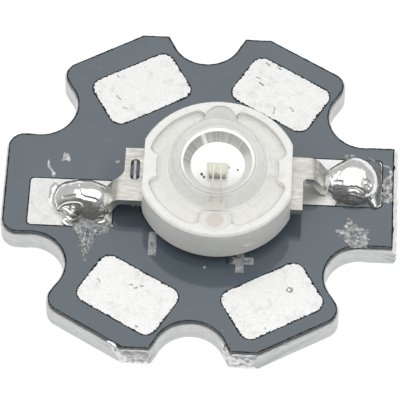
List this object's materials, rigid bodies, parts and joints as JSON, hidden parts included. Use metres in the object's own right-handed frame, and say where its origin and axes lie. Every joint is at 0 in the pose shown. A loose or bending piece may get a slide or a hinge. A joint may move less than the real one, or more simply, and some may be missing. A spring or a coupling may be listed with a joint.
{
  "type": "star pcb power led",
  "caption": "Star-shaped aluminium-core board with screw notches and tinned pads, carrying a clear-domed power LED soldered by two bent leads.",
  "frame": {"origin": "centre of the star on the board's underside", "axes": "+Z out of the board towards the lens, X along the two leads with the plus side at +X, Y across the leads"},
  "size_m": [0.0203, 0.0196, 0.0065],
  "materials": {
    "board_aluminium": "matte routed, rough where broken",
    "insulation": "matte",
    "copper": "satin",
    "mask": "glossy dark slate",
    "tin": "bright tinned, faintly grainy",
    "ink": "thin printed ink",
    "compound": "matte",
    "slug_plating": "silver plated",
    "white_moulding": "moulded off-white",
    "lead_plating": "plated, warm silver",
    "adhesive": "matte",
    "phosphor": "matte",
    "gold_wire": "bright",
    "gel": "clear",
    "lens_clear": "clear, polished",
    "solder": "bright, burnt at the edges"
  },
  "bodies": {
    "root": {"base_plate": "board_aluminium", "insulation_layer": "insulation", "copper_left": "copper", "copper_right": "copper", "copper_centre": "copper", "solder_mask": "mask", "pad_left": "tin", "pad_right": "tin", "pad_back_left": "tin", "pad_back_right": "tin", "pad_front_left": "tin", "pad_front_right": "tin", "mark_plus": "ink", "mark_minus": "ink", "thermal_compound": "compound", "heat_slug": "slug_plating", "emitter_body": "white_moulding", "lead_left": "lead_plating", "lead_right": "lead_plating", "die_adhesive": "adhesive", "led_die": "phosphor", "bond_wire_left": "gold_wire", "bond_wire_right": "gold_wire", "encapsulant_gel": "gel", "lens": "lens_clear", "solder_left": "solder", "solder_right": "solder"}
  },
  "joints": []
}
